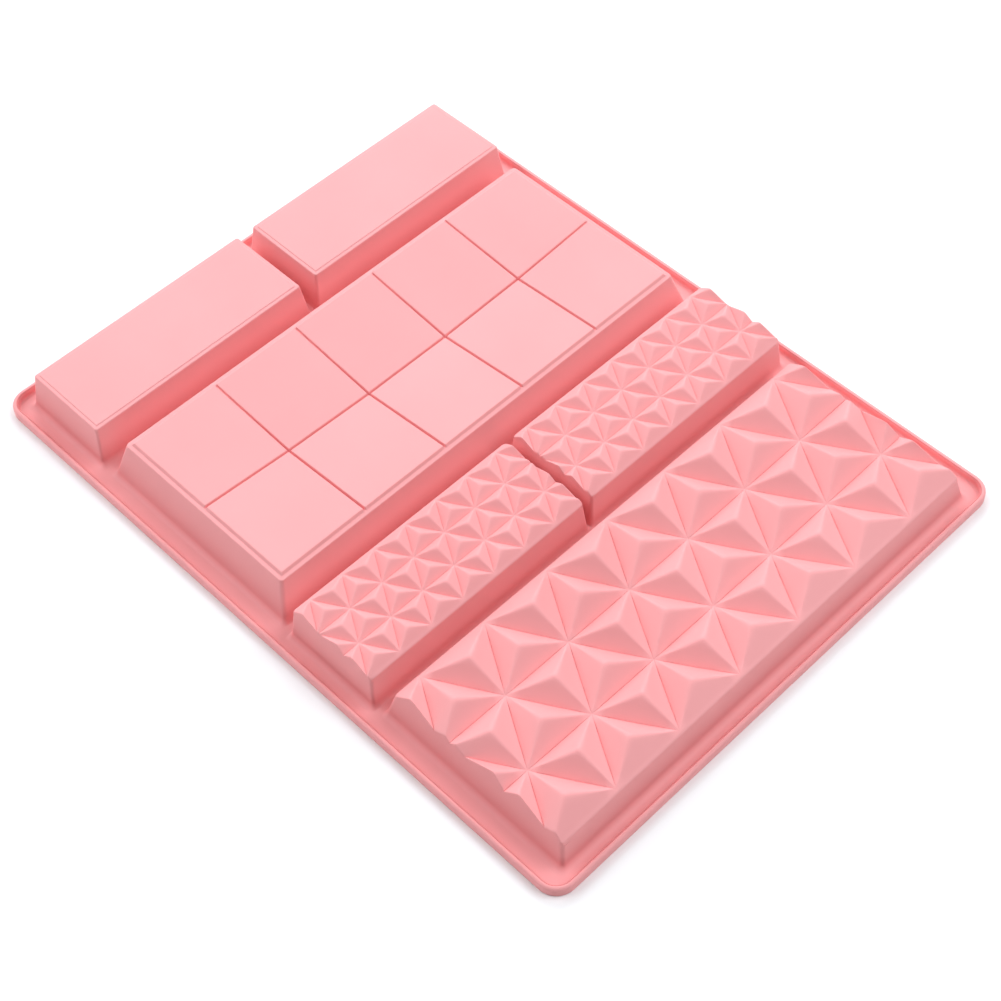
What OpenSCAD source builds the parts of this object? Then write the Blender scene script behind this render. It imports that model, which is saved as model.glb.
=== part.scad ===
// Six-cavity silicone tray mould, lying with its open face down and the undersides of its cavities up.
// X runs along the bars, Y across the tray, Z up from the face that the tray rests on.

/* [Tray] */
// Length of the tray along X
tray_x = 210; // [206:1:230]
// Length of the tray along Y
tray_y = 270; // [266:1:290]
// Corner radius of the tray outline
tray_r = 7.5; // [4:0.5:12]
// Thickness of the flat sheet that joins the cavities
sheet_t = 1.5; // [1:0.1:2]
// Height of the stiffening bead round the edge
bead_h = 4; // [3:0.1:5]
// Thickness of the stiffening bead
bead_t = 2; // [1.4:0.1:3]
// Thickness of the cavity walls
wall_t = 2; // [1.2:0.1:2.4]
// Thickness of the cavity floors
floor_t = 2; // [1.2:0.1:2.4]
// Radius where a wall turns into a floor
edge_r = 0.5; // [0.3:0.1:1]

/* [Smooth bars] */
// Length of a smooth bar's floor
smooth_x = 91.8; // [80:0.2:93]
// Width of a smooth bar's floor
smooth_y = 34.8; // [28:0.2:36]
// Height of a smooth bar's floor above the resting face
smooth_z = 17.5; // [14:0.1:20]
// How far each wall of a smooth bar leans out at its foot
smooth_lean = 2; // [0.5:0.1:2.5]
// Width of the ledge round the raised panel
smooth_ledge = 0.7; // [0.5:0.1:3]
// Height of the raised panel above the ledge
smooth_panel = 0.3; // [0.2:0.1:0.8]

/* [Grid block] */
// Length of the grid block's floor
grid_x = 184.4; // [170:0.2:186]
// Width of the grid block's floor
grid_y = 79.6; // [70:0.2:81]
// Height of the grid block's ledge above the resting face
grid_z = 17.2; // [14:0.1:20]
// How far each wall of the grid block leans out at its foot
grid_lean = 4.4; // [1:0.1:4.5]
// Width of the ledge round the tiles
grid_ledge = 1; // [0.5:0.1:3]
// Height of the tiles above the ledge
tile_rise = 0.9; // [0.5:0.1:1.4]
// Tiles along the block
tiles_x = 5; // [2:1:8]
// Tiles across the block
tiles_y = 2; // [1:1:4]
// Width of the grooves between tiles
groove_w = 0.9; // [0.6:0.1:1.4]
// Depth of the grooves between tiles
groove_d = 1.1; // [0.6:0.1:1.4]
// Width of the snap ribs inside the cavity
rib_w = 3; // [2:0.1:4]
// Height of the snap ribs inside the cavity
rib_h = 2; // [1:0.1:3]

/* [Facet bars] */
// Length of a facet bar's floor
facet_bar_x = 94.4; // [84:0.2:95]
// Width of a facet bar's floor
facet_bar_y = 36.6; // [30:0.2:37]
// Height of a facet bar's valleys above the resting face
facet_bar_z = 15.9; // [13:0.1:18]
// How far each wall of a facet bar leans out at its foot
facet_bar_lean = 1.4; // [0.5:0.1:1.5]
// Height of a facet bar's points above its valleys
facet_bar_rise = 2.4; // [1:0.1:3]

/* [Facet block] */
// Length of the facet block's floor
facet_block_x = 187.6; // [170:0.2:188]
// Width of the facet block's floor
facet_block_y = 72; // [60:0.2:73]
// Height of the facet block's valleys above the resting face
facet_block_z = 12.6; // [11:0.1:15]
// How far each wall of the facet block leans out at its foot
facet_block_lean = 2.6; // [0.5:0.1:3]
// Height of the facet block's points above its valleys
facet_block_rise = 5; // [2:0.1:5]

/* [Layout] */
// Place of the smooth bars' centre line across the tray
smooth_at = 108.3; // [107:0.1:109]
// Place of the grid block's centre line across the tray
grid_at = 39.4; // [38:0.1:40]
// Place of the facet bars' centre line across the tray
facet_bar_at = -28.6; // [-29:0.1:-27]
// Place of the facet block's centre line across the tray
facet_block_at = -90.4; // [-91:0.1:-89]
// Distance from the tray's middle to the centre of each smooth bar
smooth_apart = 49.5; // [49:0.1:50]
// Distance from the tray's middle to the centre of each facet bar
facet_bar_apart = 49.2; // [49:0.1:50]

/* [Hidden] */

silicone = [0.96, 0.66, 0.65];
corner_steps = 6;     // straight pieces in each rounded corner of a drafted wall
least_r = 0.5;        // smallest corner radius inside a cavity
cut = 1;              // overshoot of a cutting solid past the surface that it cuts
smooth_r = 1;         // corner radius of each kind of cavity, at its floor
grid_r = 1.5;
facet_bar_r = 1.2;
facet_block_r = 1.5;
facet_rows = 3;       // bands of triangles across a faceted floor
facet_margin = 1;     // from the outermost rows of the lattice to the long sides of the floor
facet_reach = 8;      // half pitches of the lattice on each side of its middle
facet_bar_pitch = 13.75;
facet_bar_shift = 0.5;   // how far the lattice of a facet bar lies towards the tray's middle
facet_block_pitch = 27.9;

// ---- Shared shapes ----

// Points at height z round a rounded rectangle that is grown by grow on every side. Growing it outward
// keeps its corner radius.
function outline(x, y, r, grow, z) = [
    for (side = [0:3])
        for (step = [0:corner_steps])
            let (
                turn = 90 * side + 90 * step / corner_steps,
                sx = side == 0 || side == 3 ? 1 : -1,
                sy = side < 2 ? 1 : -1,
                rr = max(r + min(grow, 0), least_r)
            )
            [
                sx * (x / 2 + grow - rr) + rr * cos(turn),
                sy * (y / 2 + grow - rr) + rr * sin(turn),
                z
            ]
];

// Closed solid through a stack of outlines, from the lowest to the highest
module loft(rings) {
    n = len(rings[0]);
    last = len(rings) - 1;
    sides = [
        for (k = [0:last - 1])
            for (i = [0:n - 1])
                let (j = (i + 1) % n)
                [k * n + i, (k + 1) * n + i, (k + 1) * n + j, k * n + j]
    ];
    bottom = [[for (i = [0:n - 1]) i]];
    top = [[for (i = [n - 1:-1:0]) last * n + i]];
    polyhedron([for (ring = rings) each ring], concat(sides, bottom, top));
}

// How far a wall has leaned out at height z, for a cavity with its floor at height floor_z
function lean_at(z, floor_z, lean) = lean * (floor_z - z) / (floor_z - sheet_t);

// Drafted walls of one cavity, up to the underside of its floor
module walls(x, y, r, floor_z, lean) {
    top_z = floor_z - floor_t;
    top_lean = lean_at(top_z, floor_z, lean);
    slope = (lean - top_lean) / (top_z - sheet_t);
    color(silicone)
    difference() {
        loft([
            outline(x, y, r, lean, 0),
            outline(x, y, r, lean, sheet_t),
            outline(x, y, r, top_lean, top_z)
        ]);
        loft([
            outline(x, y, r, lean - wall_t + slope * (sheet_t + cut), -cut),
            outline(x, y, r, top_lean - wall_t - slope * cut, top_z + cut)
        ]);
    }
}

// Floor plate of one cavity, with its top edge rounded
module floor_plate(x, y, r, floor_z, lean) {
    low_z = floor_z - floor_t;
    loft([
        outline(x, y, r, lean_at(low_z, floor_z, lean), low_z),
        outline(x, y, r, 0, floor_z - edge_r),
        outline(x, y, r, -0.3 * edge_r, floor_z - 0.3 * edge_r),
        outline(x, y, r, -edge_r, floor_z)
    ]);
}

// Flat plate with rounded corners, from height low_z to high_z
module rounded_plate(x, y, r, low_z, high_z) {
    translate([0, 0, low_z])
    linear_extrude(high_z - low_z)
    rounded_rectangle(x, y, r);
}

module rounded_rectangle(x, y, r) {
    union() {
        square([x - 2 * r, y], center = true);
        square([x, y - 2 * r], center = true);
        for (sx = [-1, 1], sy = [-1, 1])
            translate([sx * (x / 2 - r), sy * (y / 2 - r)])
            circle(r, $fn = 48);
    }
}

// ---- Tray ----

// Foot of one cavity as a flat outline, which the sheet leaves open
module foot(x, y, r, lean) {
    polygon([for (p = outline(x, y, r, lean, 0)) [p.x, p.y]]);
}

// The six feet in their places
module feet() {
    for (side = [-1, 1]) {
        translate([side * smooth_apart, smooth_at])
        foot(smooth_x, smooth_y, smooth_r, smooth_lean);
        translate([side * facet_bar_apart, facet_bar_at])
        foot(facet_bar_x, facet_bar_y, facet_bar_r, facet_bar_lean);
    }
    translate([0, grid_at])
    foot(grid_x, grid_y, grid_r, grid_lean);
    translate([0, facet_block_at])
    foot(facet_block_x, facet_block_y, facet_block_r, facet_block_lean);
}

module flange_sheet() {
    color(silicone)
    linear_extrude(sheet_t)
    difference() {
        rounded_rectangle(tray_x - 2 * bead_t, tray_y - 2 * bead_t, tray_r - bead_t);
        feet();
    }
}

// Cross-section of the bead: upright, with a full round on top
module bead_section() {
    round_r = bead_t / 2;
    union() {
        square([bead_t, bead_h - round_r]);
        translate([round_r, bead_h - round_r])
        circle(round_r, $fn = 32);
    }
}

// One straight length of the bead, with its inner face on the line x = 0
module bead_run(length) {
    rotate([90, 0, 0])
    translate([0, 0, -length / 2])
    linear_extrude(length)
    bead_section();
}

module bead_corner() {
    rotate_extrude(angle = 90, $fn = 96)
    translate([tray_r - bead_t, 0])
    bead_section();
}

module rim_bead() {
    straight_x = tray_x - 2 * tray_r;
    straight_y = tray_y - 2 * tray_r;
    color(silicone)
    union() {
        for (turn = [0, 180]) {
            rotate(turn)
            translate([tray_x / 2 - bead_t, 0, 0])
            bead_run(straight_y);
            rotate(turn + 90)
            translate([tray_y / 2 - bead_t, 0, 0])
            bead_run(straight_x);
            rotate(turn)
            translate([straight_x / 2, straight_y / 2, 0])
            bead_corner();
            rotate(turn)
            translate([-straight_x / 2, straight_y / 2, 0])
            rotate(90)
            bead_corner();
        }
    }
}

// ---- Smooth bars ----

module smooth_walls(side) {
    translate([side * smooth_apart, smooth_at, 0])
    walls(smooth_x, smooth_y, smooth_r, smooth_z, smooth_lean);
}

module smooth_floor(side) {
    panel_x = smooth_x - 2 * (edge_r + smooth_ledge);
    panel_y = smooth_y - 2 * (edge_r + smooth_ledge);
    low_z = smooth_z - floor_t;
    color(silicone)
    translate([side * smooth_apart, smooth_at, 0])
    difference() {
        union() {
            floor_plate(smooth_x, smooth_y, smooth_r, smooth_z, smooth_lean);
            rounded_plate(panel_x, panel_y, smooth_r, smooth_z - cut, smooth_z + smooth_panel);
        }
        rounded_plate(
            panel_x - 2 * wall_t, panel_y - 2 * wall_t, smooth_r / 2,
            low_z - cut, low_z + smooth_panel
        );
    }
}

// ---- Grid block ----

// Straight triangular bar along X, centred, with its flat side at z = 0 and its edge up
module wedge(length, width, height) {
    rotate([90, 0, 90])
    translate([0, 0, -length / 2])
    linear_extrude(length)
    polygon([[-width / 2, 0], [width / 2, 0], [0, height]]);
}

// One wedge along each line between tiles
module tile_lines(x, y, width, height) {
    for (i = [1:tiles_x - 1])
        translate([tile_pitch_x() * (i - tiles_x / 2), 0, 0])
        rotate(90)
        wedge(y, width, height);
    for (j = [1:tiles_y - 1])
        translate([0, tile_pitch_y() * (j - tiles_y / 2), 0])
        wedge(x, width, height);
}

function tile_field_x() = grid_x - 2 * (edge_r + grid_ledge);
function tile_field_y() = grid_y - 2 * (edge_r + grid_ledge);
function tile_pitch_x() = tile_field_x() / tiles_x;
function tile_pitch_y() = tile_field_y() / tiles_y;

module grid_block_walls() {
    translate([0, grid_at, 0])
    walls(grid_x, grid_y, grid_r, grid_z, grid_lean);
}

module grid_block_floor() {
    field_x = tile_field_x();
    field_y = tile_field_y();
    low_z = grid_z - floor_t;
    top_z = grid_z + tile_rise;
    color(silicone)
    translate([0, grid_at, 0])
    union() {
        difference() {
            union() {
                floor_plate(grid_x, grid_y, grid_r, grid_z, grid_lean);
                loft([
                    outline(field_x, field_y, grid_r, 0, grid_z - edge_r),
                    outline(field_x, field_y, grid_r, 0, grid_z),
                    outline(field_x, field_y, grid_r, -0.7 * tile_rise, top_z)
                ]);
            }
            translate([0, 0, top_z])
            mirror([0, 0, 1])
            tile_lines(field_x, field_y, groove_w, groove_d);
        }
        translate([0, 0, low_z])
        mirror([0, 0, 1])
        tile_lines(field_x - 2 * wall_t, field_y - 2 * wall_t, rib_w, rib_h);
    }
}

// ---- Faceted cavities ----

// One three-sided point of the pattern, standing on a triangle of the lattice
module facet_cell(corners, base_z, valley_z, rise) {
    middle = (corners[0] + corners[1] + corners[2]) / 3;
    foot_points = [for (p = corners) [p.x, p.y, base_z]];
    valley_points = [for (p = corners) [p.x, p.y, valley_z]];
    tip = [middle.x, middle.y, valley_z + rise];
    hull()
    polyhedron(concat(foot_points, valley_points, [tip]), [
        [0, 1, 2],
        [0, 3, 4, 1], [1, 4, 5, 2], [2, 5, 3, 0],
        [3, 6, 4], [4, 6, 5], [5, 6, 3]
    ]);
}

// Lattice point m half pitches along a band: rows take turns to hold the odd and the even points
function lattice_point(band, m, pitch, row_gap) = [
    m * pitch / 2,
    (band - facet_rows / 2 + (abs(band + m) % 2 == 1 ? 0 : 1)) * row_gap
];

// Counter-clockwise order for the triangle that starts at lattice point m
function lattice_triangle(band, m, pitch, row_gap) =
    let (points = [for (k = [0:2]) lattice_point(band, m + k, pitch, row_gap)])
    abs(band + m) % 2 == 1 ? [points[0], points[2], points[1]] : points;

// The whole faceted field, solid down to base_z
module facet_field(width, pitch, base_z, valley_z, rise) {
    union()
    for (band = [0:facet_rows - 1], m = [-facet_reach:facet_reach - 2])
        facet_cell(
            lattice_triangle(band, m, pitch, width / facet_rows),
            base_z, valley_z, rise
        );
}

module facet_floor(x, y, r, floor_z, lean, pitch, rise, shift) {
    low_z = floor_z - floor_t;
    inner = lean_at(low_z, floor_z, lean) - wall_t;
    field_y = y - 2 * facet_margin;
    color(silicone)
    difference() {
        union() {
            floor_plate(x, y, r, floor_z, lean);
            intersection() {
                translate([shift, 0, 0])
                facet_field(field_y, pitch, low_z + edge_r, floor_z - 0.01, rise);
                loft([
                    outline(x, y, r, -edge_r, low_z + edge_r),
                    outline(x, y, r, -edge_r, floor_z + rise)
                ]);
            }
        }
        intersection() {
            translate([shift, 0, 0])
            facet_field(field_y, pitch, low_z - cut, low_z, rise);
            loft([
                outline(x, y, r, inner, low_z - cut),
                outline(x, y, r, inner, floor_z + rise)
            ]);
        }
    }
}

module facet_bar_walls(side) {
    translate([side * facet_bar_apart, facet_bar_at, 0])
    walls(facet_bar_x, facet_bar_y, facet_bar_r, facet_bar_z, facet_bar_lean);
}

module facet_bar_floor(side) {
    translate([side * facet_bar_apart, facet_bar_at, 0])
    facet_floor(
        facet_bar_x, facet_bar_y, facet_bar_r, facet_bar_z, facet_bar_lean,
        facet_bar_pitch, facet_bar_rise, -side * facet_bar_shift
    );
}

module facet_block_walls() {
    translate([0, facet_block_at, 0])
    walls(facet_block_x, facet_block_y, facet_block_r, facet_block_z, facet_block_lean);
}

module facet_block_floor() {
    translate([0, facet_block_at, 0])
    facet_floor(
        facet_block_x, facet_block_y, facet_block_r, facet_block_z, facet_block_lean,
        facet_block_pitch, facet_block_rise, 0
    );
}

module smooth_bar_left_walls() smooth_walls(-1);
module smooth_bar_left_floor() smooth_floor(-1);
module smooth_bar_right_walls() smooth_walls(1);
module smooth_bar_right_floor() smooth_floor(1);
module facet_bar_left_walls() facet_bar_walls(-1);
module facet_bar_left_floor() facet_bar_floor(-1);
module facet_bar_right_walls() facet_bar_walls(1);
module facet_bar_right_floor() facet_bar_floor(1);

flange_sheet();
rim_bead();
smooth_bar_left_walls();
smooth_bar_left_floor();
smooth_bar_right_walls();
smooth_bar_right_floor();
grid_block_walls();
grid_block_floor();
facet_bar_left_walls();
facet_bar_left_floor();
facet_bar_right_walls();
facet_bar_right_floor();
facet_block_walls();
facet_block_floor();
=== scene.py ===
"""Looks of the six-cavity silicone tray mould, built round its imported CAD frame.

Every CAD node is replaced by one detailed piece in the same place: the bead, the flat sheet, and the walls
and floor of each cavity. Units are metres, and mm turns a length in millimetres into metres.
"""

import math

import bmesh
import bpy
from mathutils import Matrix, Vector


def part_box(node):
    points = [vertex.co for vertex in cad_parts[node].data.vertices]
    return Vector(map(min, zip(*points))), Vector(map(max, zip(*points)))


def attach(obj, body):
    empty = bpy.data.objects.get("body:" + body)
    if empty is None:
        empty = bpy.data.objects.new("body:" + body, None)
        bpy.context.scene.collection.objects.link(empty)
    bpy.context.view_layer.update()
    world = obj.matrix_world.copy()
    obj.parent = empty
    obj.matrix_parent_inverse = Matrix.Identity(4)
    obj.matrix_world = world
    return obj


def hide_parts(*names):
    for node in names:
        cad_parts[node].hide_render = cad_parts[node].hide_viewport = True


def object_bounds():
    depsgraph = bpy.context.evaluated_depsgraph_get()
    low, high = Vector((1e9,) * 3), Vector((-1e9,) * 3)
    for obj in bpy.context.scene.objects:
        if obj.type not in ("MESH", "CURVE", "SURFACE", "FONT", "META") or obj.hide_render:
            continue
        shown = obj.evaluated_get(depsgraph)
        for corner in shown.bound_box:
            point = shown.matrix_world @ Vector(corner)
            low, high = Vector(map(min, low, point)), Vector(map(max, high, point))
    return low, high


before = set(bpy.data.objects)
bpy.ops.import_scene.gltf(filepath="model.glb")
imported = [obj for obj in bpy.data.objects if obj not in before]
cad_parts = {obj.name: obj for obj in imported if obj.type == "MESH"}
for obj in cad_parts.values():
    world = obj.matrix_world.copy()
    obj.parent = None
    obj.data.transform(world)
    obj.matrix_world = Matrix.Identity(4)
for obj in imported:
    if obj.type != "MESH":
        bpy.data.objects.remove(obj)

cad_low, cad_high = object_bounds()
mm = 0.001

# ---- Sizes of the moulding that the frame's boxes don't give ----

WALL = 2.0 * mm            # thickness of walls and floors
BEAD = 2.0 * mm            # thickness of the bead round the edge
TRAY_RADIUS = 7.5 * mm     # corner radius of the tray's outline
FOOT_FILLET = 2.5 * mm     # between a cavity's wall and the sheet
BEAD_FILLET = 0.8 * mm     # between the bead and the sheet
INNER_FILLET = 1.0 * mm    # inside a cavity, between wall and floor
LIP = 0.4 * mm             # rounding of the open edge of a cavity
SEAM_FLAT = 0.3 * mm       # flat strip past each fillet, so that it runs into the sheet without a step
LEAST_CORNER = 0.3 * mm    # smallest corner radius of an outline
ARC_STEPS = 8              # pieces in each rounded corner of an outline
SHARP = math.radians(35)   # creases steeper than this stay sharp
WELD = 0.002 * mm          # vertices closer than this become one
SLIVER = 0.001 * mm        # edges shorter than this are taken out

sheet_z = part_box("flange_sheet")[1].z


# ---- Mesh helpers ----

def clamp(x):
    return min(max(x, 0), 1)


def new_verts(made):
    """The vertices among the things that an extrusion made."""
    return [item for item in made["geom"] if isinstance(item, bmesh.types.BMVert)]


def finish_mesh(name, bm, node):
    """Turns bm into the piece that stands for one CAD node."""
    bmesh.ops.remove_doubles(bm, verts=bm.verts, dist=WELD)
    bmesh.ops.dissolve_degenerate(bm, edges=bm.edges, dist=SLIVER)
    bmesh.ops.recalc_face_normals(bm, faces=bm.faces)
    for face in bm.faces:
        face.smooth = True
    for edge in bm.edges:
        edge.smooth = edge.calc_face_angle(0) < SHARP
    mesh = bpy.data.meshes.new(name)
    bm.to_mesh(mesh)
    bm.free()
    mesh.materials.append(silicone)
    piece = bpy.data.objects.new(name, mesh)
    bpy.context.scene.collection.objects.link(piece)
    weighted = piece.modifiers.new("flat_faces_stay_flat", "WEIGHTED_NORMAL")
    weighted.keep_sharp = True
    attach(piece, "root")
    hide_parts(node)
    return piece


def rounded_ring(sides, radius, stations=((), ())):
    """Points round a rounded rectangle, counter-clockwise.

    Stations are the x and the y of extra points on its sides.
    """
    x0, x1, y0, y1 = sides
    xs, ys = stations
    centres = (
        (x1 - radius, y1 - radius),
        (x0 + radius, y1 - radius),
        (x0 + radius, y0 + radius),
        (x1 - radius, y0 + radius),
    )
    straights = (
        [(x, y1) for x in reversed(xs)],
        [(x0, y) for y in reversed(ys)],
        [(x, y0) for x in xs],
        [(x1, y) for y in ys],
    )
    points = []
    for quarter, (centre, straight) in enumerate(zip(centres, straights)):
        for step in range(ARC_STEPS + 1):
            turn = math.pi / 2 * (quarter + step / ARC_STEPS)
            points.append((centre[0] + radius * math.cos(turn), centre[1] + radius * math.sin(turn)))
        points.extend(straight)
    return points


def grown(sides, grow, flare=0, shares=(1, 1, 1, 1)):
    """Sides of a rectangle moved out by grow, and by a share of flare that each side has of its own."""
    x0, x1, y0, y1 = sides
    a, b, c, d = (grow + flare * share for share in shares)
    return x0 - a, x1 + b, y0 - c, y1 + d


def add_ring(bm, points, z):
    """Adds a ring of vertices at height z, or at the heights that z gives for each x and y."""
    height = z if callable(z) else lambda x, y: z
    return [bm.verts.new((x, y, height(x, y))) for x, y in points]


def bridge(bm, low, high):
    """Quads between two rings with the same number of vertices."""
    count = len(low)
    for i in range(count):
        j = (i + 1) % count
        bm.faces.new((low[i], low[j], high[j], high[i]))


def arc(centre, radius, start, end, steps=6):
    """Points of a cross-section on an arc; 0 degrees points outward and 90 up."""
    turns = [math.radians(start + (end - start) * k / steps) for k in range(steps + 1)]
    return [(centre[0] + radius * math.cos(t), centre[1] + radius * math.sin(t)) for t in turns]


# ---- Cavities ----

class Cavity:
    """Where one cavity lies, worked out from its walls and floor in the frame."""

    def __init__(self, name, radius, shares=(1, 1, 1, 1)):
        foot_low, foot_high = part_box(name + "_walls")
        floor_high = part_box(name + "_floor")[1]
        self.name = name
        self.radius = radius                # corner radius of the floor and all the way down the walls
        self.shares = shares                # share of the foot fillet that each side has room for
        self.seam_z = foot_high.z           # where the walls end and the floor begins
        self.top_z = floor_high.z
        self.floor_z = self.seam_z + WALL   # outside of the floor
        self.slope = (foot_high.x - floor_high.x) / (self.seam_z - sheet_z)
        self.tilt = math.degrees(math.atan(self.slope))
        lean = self.slope * (self.floor_z - sheet_z)
        self.sides = (foot_low.x + lean, foot_high.x - lean, foot_low.y + lean, foot_high.y - lean)
        self.middle = ((foot_low.x + foot_high.x) / 2, (foot_low.y + foot_high.y) / 2)
        self.half = ((self.sides[1] - self.sides[0]) / 2, (self.sides[3] - self.sides[2]) / 2)

    def out(self, z):
        """How far the wall's outer face stands out at height z from where it meets the floor."""
        return self.slope * (self.floor_z - z)

    def tangent(self, radius):
        """Distance along a flat from the wall to the point where a fillet of that radius leaves it."""
        tilt = math.radians(self.tilt)
        return radius * (1 - math.sin(tilt)) / math.cos(tilt)

    def corner(self, grow):
        """Corner radius of an outline that lies grow outside the wall's face."""
        return max(self.radius + grow, LEAST_CORNER)

    def outline(self, grow, stations=((), ())):
        return rounded_ring(grown(self.sides, grow), self.corner(min(grow, 0)), stations)


def foot_section(cavity):
    """Outer face of a wall from the sheet to its seam with the floor, as (distance out, height)."""
    end = cavity.out(sheet_z) + cavity.tangent(FOOT_FILLET)
    section = [(end + SEAM_FLAT, sheet_z)]
    section += arc((end, sheet_z + FOOT_FILLET), FOOT_FILLET, 270, 180 + cavity.tilt, 8)
    section.append((cavity.out(cavity.seam_z), cavity.seam_z))
    return section


def inner_section(cavity):
    """Inner face of a wall from its seam with the floor down to the open face."""
    corner = cavity.out(cavity.seam_z) - WALL
    centre = corner - cavity.tangent(INNER_FILLET)
    section = arc((centre, cavity.seam_z - INNER_FILLET), INNER_FILLET, 90, cavity.tilt, 5)
    lip = cavity.out(0) - WALL
    return section + arc((lip + LIP, LIP), LIP, 180, 270, 4)


def wall_ring(bm, cavity, out, z):
    """Ring round a wall at height z, out from where the wall meets the floor."""
    past = out - cavity.out(z)
    flare = max(past, 0) if z < cavity.seam_z else 0
    sides = grown(cavity.sides, out - flare, flare, cavity.shares)
    radius = cavity.corner(min(past, 0) + flare * min(cavity.shares))
    return add_ring(bm, rounded_ring(sides, radius), z)


def make_walls(cavity):
    """The drafted wall all round a cavity, with the fillet at its foot and the lip of the open face."""
    bm = bmesh.new()
    section = foot_section(cavity) + inner_section(cavity)
    rings = [wall_ring(bm, cavity, out, z) for out, z in section]
    rings.append([bm.verts.new((v.co.x, v.co.y, 0)) for v in rings[0]])
    for low, high in zip(rings, rings[1:] + rings[:1]):
        bridge(bm, low, high)
    name = cavity.name + "_walls"
    return finish_mesh(name, bm, name)


def edge_section(cavity, radius):
    """Outer face of a floor from the seam over its rounded edge, as (distance out, height)."""
    centre = -cavity.tangent(radius)
    section = [(cavity.out(cavity.seam_z), cavity.seam_z)]
    return section + arc((centre, cavity.floor_z - radius), radius, cavity.tilt, 90, 6)


# ---- Smooth bars ----

SMOOTH_EDGE = 0.5 * mm     # rounding where the floor turns into the walls
SMOOTH_LEDGE = 1.3 * mm    # from the edge of the floor to the raised panel
PANEL_FOOT = 0.2 * mm      # how far the panel's soft foot reaches out
PANEL_FOOT_RISE = 0.04 * mm
PANEL_LEAN = 0.1 * mm      # how far the panel's side leans in
PANEL_SOFT = 0.25 * mm     # rounding of the panel's edge
SUPPORT = 0.4 * mm         # flat strip inside the panel's edge


def make_smooth_floor(cavity):
    """Flat floor with a ledge and a slightly raised panel, hollowed the same way inside."""
    bm = bmesh.new()
    rise = cavity.top_z - cavity.floor_z
    inner = cavity.out(cavity.seam_z) - WALL
    panel = -SMOOTH_LEDGE
    section = [(panel - WALL - SUPPORT, cavity.seam_z + rise), (panel - WALL, cavity.seam_z + rise)]
    section += [(panel - WALL + PANEL_FOOT, cavity.seam_z), (inner, cavity.seam_z)]
    section += edge_section(cavity, SMOOTH_EDGE)
    section += [(panel + PANEL_FOOT, cavity.floor_z), (panel, cavity.floor_z + PANEL_FOOT_RISE)]
    section += arc((panel - PANEL_SOFT - PANEL_LEAN, cavity.top_z - PANEL_SOFT), PANEL_SOFT, 30, 90, 3)
    section.append((panel - SUPPORT - PANEL_SOFT, cavity.top_z))
    rings = [add_ring(bm, cavity.outline(out), z) for out, z in section]
    for low, high in zip(rings, rings[1:]):
        bridge(bm, low, high)
    bm.faces.new(rings[-1])
    bm.faces.new(list(reversed(rings[0])))
    name = cavity.name + "_floor"
    return finish_mesh(name, bm, name)


# ---- Grid block ----

TILES_X, TILES_Y = 5, 2
GRID_EDGE = 0.5 * mm       # rounding where the floor turns into the walls
GRID_LEDGE = 1.5 * mm      # from the edge of the floor to the foot of the tiles' chamfer
CHAMFER = 0.65 * mm        # how far the chamfer leans in
TILE_SOFT = 0.3 * mm       # flat part of the tiles' rounded edge
# The chamfer's soft foot, in mm out from the end of the ledge and mm above the floor, and its soft top, in mm
# out from the end of the chamfer and mm above the tiles.
CHAMFER_FOOT = ((0.1, 0), (-0.05, 0.08))
CHAMFER_TOP = ((0.1, -0.22), (-0.05, -0.06))
# Cross-section of a groove, in mm from its middle and mm deep, and the same for the snap ribs inside.
GROOVE = ((0, 1.5), (0.2, 1.45), (0.35, 0.8), (0.43, 0.18), (0.58, 0.03), (0.9, 0.0))
RIB = ((0, 2.0), (0.45, 1.8), (1.0, 0.7), (1.5, 0.0))
GROOVE_END = 1.2 * mm      # length over which a groove runs out at its far end
GRID_SAG = 4.7 * mm        # how far the middle of the unsupported floor hangs down


def ramp(table, x):
    """Straight-line interpolation in a table of (place, value), both in millimetres."""
    x = x / mm
    for (xa, va), (xb, vb) in zip(table, table[1:]):
        if x <= xb:
            return (va + (vb - va) * (x - xa) / (xb - xa)) * mm
    return table[-1][1] * mm


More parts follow.
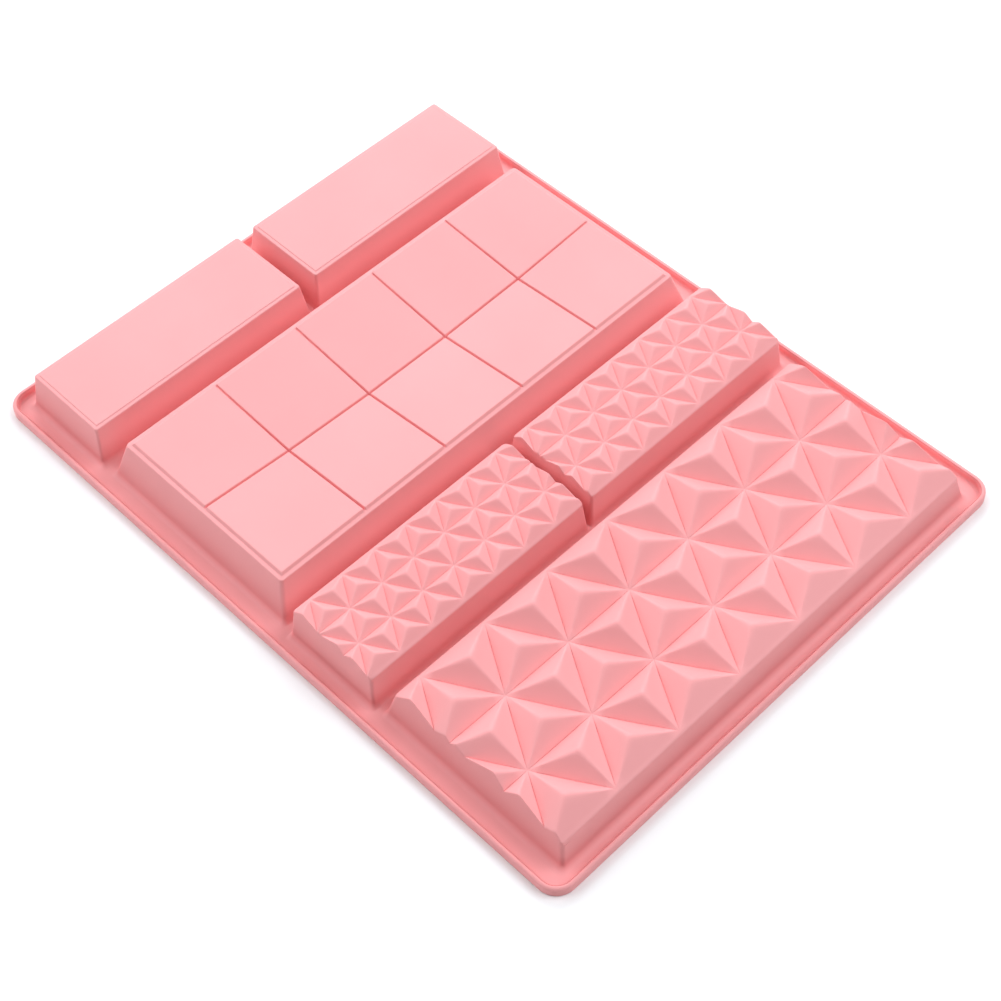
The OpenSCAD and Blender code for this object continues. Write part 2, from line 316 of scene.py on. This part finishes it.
class Tiles:
    """The tiled field of the grid block: its lines and its heights."""

    def __init__(self, cavity):
        self.cavity = cavity
        self.inset = GRID_LEDGE + CHAMFER
        self.half = (cavity.half[0] - GRID_LEDGE, cavity.half[1] - GRID_LEDGE)
        self.lines = (self.between(0, TILES_X), self.between(1, TILES_Y))

    def between(self, axis, count):
        """Middle lines of the grooves along one axis."""
        middle, half = self.cavity.middle[axis], self.half[axis]
        return [middle + half * (2 * i / count - 1) for i in range(1, count)]

    def stations(self):
        """Places where the mesh has lines: several across each groove."""
        offsets = sorted({place for place, _ in GROOVE + RIB})
        both = sorted({-o for o in offsets} | set(offsets))
        return tuple([line + o * mm for line in lines for o in both] for lines in self.lines)

    def sag(self, x, y):
        """The tiles hang down like plates hinged at the grooves."""
        u = clamp((x - self.cavity.middle[0] + self.half[0]) / (2 * self.half[0])) * TILES_X
        tile = min(int(u), TILES_X - 1)
        ends = [1 - (2 * k / TILES_X - 1) ** 2 for k in (tile, tile + 1)]
        along = ends[0] + (ends[1] - ends[0]) * (u - tile)
        across = clamp(1 - abs(y - self.cavity.middle[1]) / (self.half[1] - CHAMFER))
        return GRID_SAG * along * across

    def groove(self, x, y):
        """Depth of the grooves, which run out at their far ends."""
        cavity = self.cavity
        to_far_x = cavity.middle[0] + self.half[0] - CHAMFER - x
        to_far_y = cavity.middle[1] + self.half[1] - CHAMFER - y
        along_y = max(ramp(GROOVE, abs(x - line)) for line in self.lines[0])
        along_x = max(ramp(GROOVE, abs(y - line)) for line in self.lines[1])
        return max(along_y * clamp(to_far_y / GROOVE_END), along_x * clamp(to_far_x / GROOVE_END))

    def rib(self, x, y):
        """Height of the snap ribs inside, which run out at the walls."""
        cavity = self.cavity
        to_wall_x = cavity.half[0] - self.inset - abs(x - cavity.middle[0])
        to_wall_y = cavity.half[1] - self.inset - abs(y - cavity.middle[1])
        along_y = max(ramp(RIB, abs(x - line)) for line in self.lines[0])
        along_x = max(ramp(RIB, abs(y - line)) for line in self.lines[1])
        return max(along_y * clamp(to_wall_y / WALL), along_x * clamp(to_wall_x / WALL))

    def height(self, x, y, base):
        """Height of a point that lies at base where there is no groove or sag."""
        return max(base - self.groove(x, y), min(base, self.cavity.floor_z)) - self.sag(x, y)

    def top(self, x, y):
        return self.cavity.top_z - self.groove(x, y) - self.sag(x, y)

    def under(self, x, y):
        return self.cavity.seam_z - self.sag(x, y) - self.rib(x, y)


def fill_field(bm, sides, radius, stations, ring, height):
    """Fills a rounded rectangle whose edge is ring with a net of quads at the heights given."""
    x0, x1, y0, y1 = sides
    xs = [x0 + radius, *stations[0], x1 - radius]
    ys = [y0 + radius, *stations[1], y1 - radius]
    count_x, count_y = len(stations[0]), len(stations[1])
    inner = {
        (i, j): bm.verts.new((x, y, height(x, y)))
        for i, x in enumerate(xs)
        for j, y in enumerate(ys)
    }
    for i in range(count_x + 1):
        for j in range(count_y + 1):
            bm.faces.new((inner[i, j], inner[i + 1, j], inner[i + 1, j + 1], inner[i, j + 1]))
    last_x, last_y = count_x + 1, count_y + 1
    corner_points = ((last_x, last_y), (0, last_y), (0, 0), (last_x, 0))
    runs = (
        [(i, last_y) for i in range(last_x, -1, -1)],
        [(0, j) for j in range(last_y, -1, -1)],
        [(i, 0) for i in range(0, last_x + 1)],
        [(last_x, j) for j in range(0, last_y + 1)],
    )
    at = 0
    for corner, run in zip(corner_points, runs):
        for step in range(ARC_STEPS):
            bm.faces.new((inner[corner], ring[at + step], ring[at + step + 1]))
        at += ARC_STEPS
        for k in range(len(run) - 1):
            ahead = ring[(at + k + 1) % len(ring)]
            bm.faces.new((inner[run[k]], ring[at + k], ahead, inner[run[k + 1]]))
        at += len(run) - 1


def make_grid_floor(cavity):
    """Sagging floor with ledge, chamfer, and tiles between grooves, with snap ribs inside."""
    bm = bmesh.new()
    tiles = Tiles(cavity)
    stations = tiles.stations()
    field = -tiles.inset - TILE_SOFT
    section = edge_section(cavity, GRID_EDGE)
    section += [(out * mm - GRID_LEDGE, cavity.floor_z + up * mm) for out, up in CHAMFER_FOOT]
    section += [(out * mm - tiles.inset, cavity.top_z + up * mm) for out, up in CHAMFER_TOP]
    under_ring = add_ring(bm, cavity.outline(field, stations), cavity.seam_z)
    rings = [under_ring]
    for out, z in section:
        outline = cavity.outline(out, stations)
        rings.append(add_ring(bm, outline, lambda x, y, base=z: tiles.height(x, y, base)))
    rings.append(add_ring(bm, cavity.outline(field, stations), tiles.top))
    for low, high in zip(rings, rings[1:]):
        bridge(bm, low, high)
    sides = grown(cavity.sides, field)
    fill_field(bm, sides, cavity.corner(field), stations, rings[-1], tiles.top)
    fill_field(bm, sides, cavity.corner(field), stations, under_ring, tiles.under)
    name = cavity.name + "_floor"
    return finish_mesh(name, bm, name)


# ---- Faceted floors ----

BANDS = 3                  # bands of triangles across a faceted floor
REACH = 8                  # half pitches of the lattice on each side of its middle
BAR_PITCH, BLOCK_PITCH = 13.75 * mm, 27.9 * mm   # length of a triangle's side along the bar
BAR_SHIFT = 0.5 * mm       # how far the small bars' lattices lie towards each other
BAR_POWER, BLOCK_POWER = 6, 10   # higher is sharper: how the three slopes of a point run into each other
BLOCK_SAG = 1.9 * mm       # how far the middle of the large block's floor hangs down
# Lines of the mesh fanned out from a triangle's corner, closer together at the ridge and beside the valleys,
# and lines across that fan.
RIDGE_LINES = (0, 0.025, 0.2, 0.34, 0.41, 0.455, 0.5, 0.545, 0.59, 0.66, 0.8, 0.975, 1)
STEP_LINES = (0, 0.3, 0.6, 0.78, 0.88, 0.95, 1)
VALLEY_CUT = 0.011         # depth of the fine cut along each valley, as a share of the pitch
MARGIN = 1.0 * mm          # from the outermost rows of the lattice to the long sides of the floor
FACET_EDGE = 0.4 * mm      # rounding where a faceted floor turns into its walls
EDGE_CUTS = (0.08, 0.3, 0.6, 1.0)   # lines of the mesh near that edge, as shares of its rounding
BLEND = 3.0 * mm           # width over which the top edge follows the wall's lean
FADE = 1.0 * mm            # width over which the recesses inside run out at the walls
NO_SHARE = 1e-6            # a share of a corner below this counts as none
ON_ROW = 0.01 * mm         # a point this close to a row of the lattice counts as on it


def lattice_point(band, m, pitch, gap):
    """Lattice point m half pitches along a band; rows take turns to hold the odd and the even points."""
    row = band - BANDS / 2 + (0 if (band + m) % 2 == 1 else 1)
    return Vector((m * pitch / 2, row * gap, 0))


def point_height(shares, rise, power):
    """Height over a triangle, from the shares of its three corners: three slopes that meet in soft ridges."""
    if min(shares) < NO_SHARE:
        return 0
    return rise * (sum((3 * s) ** -power for s in shares) / 3) ** (-1 / power)


def fan_point(corners, t, step, rise, power):
    """Point of the fan at a triangle's first corner; t goes from 0 to 1 between the sides that meet there."""
    own, left, right = corners
    reach = 1 / (1 + max(t, 1 - t))
    a, b = step * reach * t, step * reach * (1 - t)
    place = own * (1 - a - b) + left * a + right * b
    place.z = point_height((a, b, 1 - a - b), rise, power)
    return place


def facet_net(pitch, gap, rise, power, fan_lines, step_lines, cut=0):
    """The whole lattice of three-sided points as a bmesh.

    Its valleys are at height 0 and have a fine cut along them, except on the outermost rows. The slopes that
    end there go on for the margin past them.
    """
    bm = bmesh.new()
    last = BANDS / 2 * gap - ON_ROW
    for band in range(BANDS):
        for m in range(-REACH, REACH - 1):
            corners = [lattice_point(band, m + k, pitch, gap) for k in range(3)]
            for k in range(3):
                fan = []
                for t in fan_lines:
                    line = [fan_point(corners[k:] + corners[:k], t, step, rise, power) for step in step_lines]
                    for place in line:
                        if t in (0, 1) and abs(place.y) < last:
                            place.z = -cut
                    fan.append([bm.verts.new(place) for place in line])
                for one, two in zip(fan, fan[1:]):
                    for i in range(len(step_lines) - 1):
                        bm.faces.new((one[i], one[i + 1], two[i + 1], two[i]))
    bmesh.ops.remove_doubles(bm, verts=bm.verts, dist=WELD)
    bmesh.ops.dissolve_degenerate(bm, edges=bm.edges, dist=SLIVER)
    rows = [e for e in bm.edges if e.is_boundary and all(abs(v.co.y) > last for v in e.verts)]
    steepness = 3 * rise / gap
    for v in new_verts(bmesh.ops.extrude_edge_only(bm, edges=rows)):
        v.co.y += math.copysign(MARGIN, v.co.y)
        v.co.z = -steepness * MARGIN
    return bm


def slice_net(bm, half, insets):
    """Trims a net to a rectangle and cuts lines at the insets from its sides."""
    for axis in (0, 1):
        for sign in (-1, 1):
            normal = Vector((0, 0, 0))
            normal[axis] = sign
            for inset in (0, *insets):
                bmesh.ops.bisect_plane(
                    bm, geom=bm.verts[:] + bm.edges[:] + bm.faces[:], dist=SLIVER,
                    plane_co=normal * (half[axis] - inset), plane_no=normal, clear_outer=inset == 0,
                )


def round_corner(x, y, half, radius):
    """Moves a point of a rectangle to make its corners round, and gives the way out of the nearest side."""
    u, v = abs(x) - (half[0] - radius), abs(y) - (half[1] - radius)
    sx, sy = math.copysign(1, x), math.copysign(1, y)
    if u > 0 and v > 0:
        length, reach = math.hypot(u, v), max(u, v)
        way = (sx * u / length, sy * v / length)
        return sx * (half[0] - radius) + way[0] * reach, sy * (half[1] - radius) + way[1] * reach, way
    nearer_x = half[0] - abs(x) < half[1] - abs(y)
    return x, y, (sx, 0) if nearer_x else (0, sy)


def copy_into(bm, net):
    """Copies a net's faces into bm and gives the edges round its border."""
    new = {v.index: bm.verts.new(v.co) for v in net.verts}
    for face in net.faces:
        bm.faces.new([new[v.index] for v in face.verts])
    border = [tuple(new[v.index] for v in e.verts) for e in net.edges if e.is_boundary]
    return [bm.edges.get(pair) for pair in border]


def make_facet_floor(cavity, pitch, shift, power, sag):
    """Floor of three-sided points, rounded into its walls at the edge, with the same points inside."""
    half, slope = cavity.half, cavity.slope
    gap = 2 * (half[1] - MARGIN) / BANDS
    rise = cavity.top_z - cavity.floor_z
    middle = cavity.middle

    def hang(x, y):
        return sag * (1 - (x / half[0]) ** 2) * (1 - (y / half[1]) ** 2)

    top = facet_net(pitch, gap, rise, power, RIDGE_LINES, STEP_LINES, VALLEY_CUT * pitch)
    bmesh.ops.translate(top, verts=top.verts, vec=(shift, 0, 0))
    slice_net(top, half, [FACET_EDGE * share for share in EDGE_CUTS])
    border = [e for e in top.edges if e.is_boundary]
    corner = cavity.corner(-cavity.out(cavity.seam_z))
    skirt = set(new_verts(bmesh.ops.extrude_edge_only(top, edges=border)))
    for v in top.verts:
        x, y, h = v.co
        inset = max(min(half[0] - abs(x), half[1] - abs(y)), 0)
        short = max(FACET_EDGE - inset, 0)
        drop = FACET_EDGE - math.sqrt(FACET_EDGE ** 2 - short ** 2)
        z = cavity.seam_z if v in skirt else cavity.floor_z + h - drop - hang(x, y)
        x, y, way = round_corner(x, y, half, corner)
        out = slope * (cavity.floor_z - z) * clamp(1 - inset / BLEND)
        v.co = (middle[0] + x + way[0] * out, middle[1] + y + way[1] * out, z)

    inner = cavity.out(cavity.seam_z) - WALL - cavity.tangent(INNER_FILLET)
    inner_half = (half[0] + inner, half[1] + inner)
    under = facet_net(pitch, gap, rise, power, (0, 0.5, 1), (0, 1))
    bmesh.ops.translate(under, verts=under.verts, vec=(shift, 0, 0))
    slice_net(under, inner_half, (FADE,))
    for v in under.verts:
        x, y, h = v.co
        inset = min(inner_half[0] - abs(x), inner_half[1] - abs(y))
        z = cavity.seam_z + (h - hang(x, y)) * clamp(inset / FADE)
        v.co = (middle[0] + x, middle[1] + y, z)

    bm = bmesh.new()
    top.verts.index_update()
    under.verts.index_update()
    loops = copy_into(bm, top) + copy_into(bm, under)
    bmesh.ops.triangle_fill(bm, edges=loops, normal=(0, 0, -1), use_beauty=True)
    top.free()
    under.free()
    name = cavity.name + "_floor"
    return finish_mesh(name, bm, name)


# ---- Sheet and bead ----

BEAD_FOOT = 0.3 * mm       # chamfer where the bead stands on the floor
# The fine crease in the bead's round top, in mm in from the outline and mm above where the round top starts.
CREASE = ((1.45, 0.89), (1.58, 0.45), (1.7, 0.71))


def tray_outline(inset):
    """The tray's outline, moved in by inset."""
    return rounded_ring(grown(tray_sides, -inset), TRAY_RADIUS - inset)


def bead_section():
    """Cross-section of the bead, as (distance in from the tray's outline, height)."""
    radius = BEAD / 2
    round_z = bead_high.z - radius
    round_top = arc((radius, round_z), radius, 180, 0, 10)
    crease = [(inset * mm, round_z + up * mm) for inset, up in CREASE]
    end = BEAD + BEAD_FILLET
    section = [(0, BEAD_FOOT)] + round_top[:7] + crease + round_top[8:]
    section += arc((end, sheet_z + BEAD_FILLET), BEAD_FILLET, 180, 270, 5)
    return section + [(end + SEAM_FLAT, sheet_z), (end + SEAM_FLAT, 0), (BEAD_FOOT, 0)]


def make_bead():
    """Upright bead round the sheet's edge, with a round top and a fine crease in it."""
    bm = bmesh.new()
    rings = [add_ring(bm, tray_outline(inset), z) for inset, z in bead_section()]
    for low, high in zip(rings, rings[1:] + rings[:1]):
        bridge(bm, low, high)
    return finish_mesh("rim_bead", bm, "rim_bead")


def make_sheet(cavities):
    """Flat sheet between the bead and the feet of the cavities."""
    bm = bmesh.new()
    loops = [add_ring(bm, tray_outline(BEAD + BEAD_FILLET + SEAM_FLAT), sheet_z)]
    loops += [wall_ring(bm, cavity, *foot_section(cavity)[0]) for cavity in cavities]
    edges = [bm.edges.new((loop[i - 1], loop[i])) for loop in loops for i in range(len(loop))]
    bmesh.ops.triangle_fill(bm, edges=edges, normal=(0, 0, 1), use_beauty=True)
    bmesh.ops.recalc_face_normals(bm, faces=bm.faces)
    made = bmesh.ops.extrude_face_region(bm, geom=bm.faces[:], use_keep_orig=True)
    for v in new_verts(made):
        v.co.z = 0
    return finish_mesh("flange_sheet", bm, "flange_sheet")


# ---- Silicone ----

PINK, PALER_PINK = (0.91, 0.35, 0.35, 1), (0.93, 0.37, 0.37, 1)
CLOUD_SCALE, GRAIN_SCALE = 22, 1600   # repeats in a metre
LEAST_ROUGH, MOST_ROUGH = 0.48, 0.62
GRAIN_DEPTH = 0.08 * mm


def make_silicone():
    """Matt silicone: pink, a little uneven in colour, with the fine grain of the blasted mould."""
    material = bpy.data.materials.new("silicone")
    material.use_nodes = True
    nodes, links = material.node_tree.nodes, material.node_tree.links
    shader = nodes["Principled BSDF"]
    shader.inputs["Specular IOR Level"].default_value = 0.35
    place = nodes.new("ShaderNodeTexCoord")

    cloud = nodes.new("ShaderNodeTexNoise")
    cloud.inputs["Scale"].default_value = CLOUD_SCALE
    cloud.inputs["Detail"].default_value = 3
    links.new(place.outputs["Object"], cloud.inputs["Vector"])
    tint = nodes.new("ShaderNodeValToRGB")
    tint.color_ramp.elements[0].position = 0.3
    tint.color_ramp.elements[0].color = PINK
    tint.color_ramp.elements[1].position = 0.7
    tint.color_ramp.elements[1].color = PALER_PINK
    links.new(cloud.outputs["Fac"], tint.inputs["Fac"])
    links.new(tint.outputs["Color"], shader.inputs["Base Color"])

    grain = nodes.new("ShaderNodeTexNoise")
    grain.inputs["Scale"].default_value = GRAIN_SCALE
    grain.inputs["Detail"].default_value = 4
    grain.inputs["Roughness"].default_value = 0.6
    links.new(place.outputs["Object"], grain.inputs["Vector"])
    rough = nodes.new("ShaderNodeMapRange")
    rough.inputs["To Min"].default_value = LEAST_ROUGH
    rough.inputs["To Max"].default_value = MOST_ROUGH
    links.new(grain.outputs["Fac"], rough.inputs["Value"])
    links.new(rough.outputs["Result"], shader.inputs["Roughness"])
    bump = nodes.new("ShaderNodeBump")
    bump.inputs["Strength"].default_value = 0.35
    bump.inputs["Distance"].default_value = GRAIN_DEPTH
    links.new(grain.outputs["Fac"], bump.inputs["Height"])
    links.new(bump.outputs["Normal"], shader.inputs["Normal"])
    return material


# ---- The object ----

bead_low, bead_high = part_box("rim_bead")
tray_sides = (bead_low.x, bead_high.x, bead_low.y, bead_high.y)
silicone = make_silicone()

# Shares of the foot fillet that there is room for: where two bars face each other, and in the long channels.
CLOSE, BETWEEN = 0.2, 0.4
smooth_bars = [
    Cavity("smooth_bar_left", 1.0 * mm, (1, CLOSE, 1, 1)),
    Cavity("smooth_bar_right", 1.0 * mm, (CLOSE, 1, 1, 1)),
]
grid_block = Cavity("grid_block", 1.5 * mm, (1, 1, BETWEEN, 1))
facet_bars = [
    Cavity("facet_bar_left", 1.2 * mm, (1, CLOSE, BETWEEN, BETWEEN)),
    Cavity("facet_bar_right", 1.2 * mm, (CLOSE, 1, BETWEEN, BETWEEN)),
]
facet_block = Cavity("facet_block", 1.5 * mm, (1, 1, 1, BETWEEN))
cavities = [*smooth_bars, grid_block, *facet_bars, facet_block]

make_bead()
make_sheet(cavities)
for cavity in cavities:
    make_walls(cavity)
for bar in smooth_bars:
    make_smooth_floor(bar)
make_grid_floor(grid_block)
for bar, shift in zip(facet_bars, (BAR_SHIFT, -BAR_SHIFT)):
    make_facet_floor(bar, BAR_PITCH, shift, BAR_POWER, 0)
make_facet_floor(facet_block, BLOCK_PITCH, 0, BLOCK_POWER, BLOCK_SAG)


# ---- Floor, light and camera ----

FLOOR_SIZE = 4.0
FLOOR_GAP = 0.05 * mm      # keeps the floor clear of the tray's open face
FLOOR_WHITE = (0.98, 0.94, 0.93, 1)
LIGHT_DISTANCE, LIGHT_SIZE = 1.6, 1.3
LIGHT_COLOUR = (0.9, 0.96, 1.0)   # one cool white for all of them


def make_stage():
    """Plain white floor, a touch warm to balance the cool lights."""
    bm = bmesh.new()
    bmesh.ops.create_grid(bm, x_segments=1, y_segments=1, size=FLOOR_SIZE)
    mesh = bpy.data.meshes.new("studio_floor")
    bm.to_mesh(mesh)
    bm.free()
    floor = bpy.data.objects.new("studio_floor", mesh)
    floor.location.z = -FLOOR_GAP
    bpy.context.scene.collection.objects.link(floor)
    paint = bpy.data.materials.new("studio_floor")
    paint.use_nodes = True
    shader = paint.node_tree.nodes["Principled BSDF"]
    shader.inputs["Base Color"].default_value = FLOOR_WHITE
    shader.inputs["Roughness"].default_value = 0.9
    shader.inputs["Specular IOR Level"].default_value = 0.1
    mesh.materials.append(paint)


def add_light(name, azimuth, elevation, power):
    """Soft square light that shines at the middle of the tray. Azimuth is from +X towards +Y."""
    lamp = bpy.data.lights.new(name, "AREA")
    lamp.shape = "SQUARE"
    lamp.size = LIGHT_SIZE
    lamp.energy = power
    lamp.color = LIGHT_COLOUR
    light = bpy.data.objects.new(name, lamp)
    a, e = math.radians(azimuth), math.radians(elevation)
    way = Vector((math.cos(e) * math.cos(a), math.cos(e) * math.sin(a), math.sin(e)))
    light.location = way * LIGHT_DISTANCE
    light.rotation_mode = "QUATERNION"
    light.rotation_quaternion = (-way).to_track_quat("-Z", "Y")
    bpy.context.scene.collection.objects.link(light)


def make_camera(look_at, azimuth, drop, roll, distance, lens):
    """Camera that looks down at look_at. Azimuth is the way it faces, from +X towards +Y."""
    data = bpy.data.cameras.new("camera")
    data.lens = lens
    data.sensor_width = 36
    camera = bpy.data.objects.new("camera", data)
    a, e, r = math.radians(azimuth), math.radians(drop), math.radians(roll)
    forward = Vector((math.cos(e) * math.cos(a), math.cos(e) * math.sin(a), -math.sin(e)))
    level = forward.cross(Vector((0, 0, 1))).normalized()
    right = (Matrix.Rotation(r, 3, -forward) @ level).normalized()
    up = right.cross(forward)
    camera.matrix_world = Matrix.Translation(look_at - forward * distance) @ Matrix(
        (right, up, -forward)
    ).transposed().to_4x4()
    bpy.context.scene.collection.objects.link(camera)
    bpy.context.scene.camera = camera


make_stage()
for name, azimuth, elevation, power in (
    ("near_right", 315, 50, 22),
    ("far_left_high", 135, 60, 9),
    ("far_left_low", 135, 30, 10),
    ("behind_low", 45, 30, 18),
    ("behind_left_low", 90, 30, 6),
):
    add_light(name, azimuth, elevation, power)
world = bpy.data.worlds.new("studio")
bpy.context.scene.world = world
world.use_nodes = True
sky = world.node_tree.nodes["Background"]
sky.inputs["Color"].default_value = (0.95, 0.97, 1.0, 1)
sky.inputs["Strength"].default_value = 0.01
bpy.context.scene.view_settings.view_transform = "Standard"

middle = (cad_low + cad_high) / 2
make_camera(
    look_at=Vector((middle.x - 12.8 * mm, middle.y - 18.9 * mm, 1.5 * mm)),
    azimuth=46.9, drop=53.22, roll=-2.15, distance=671 * mm, lens=71.77,
)
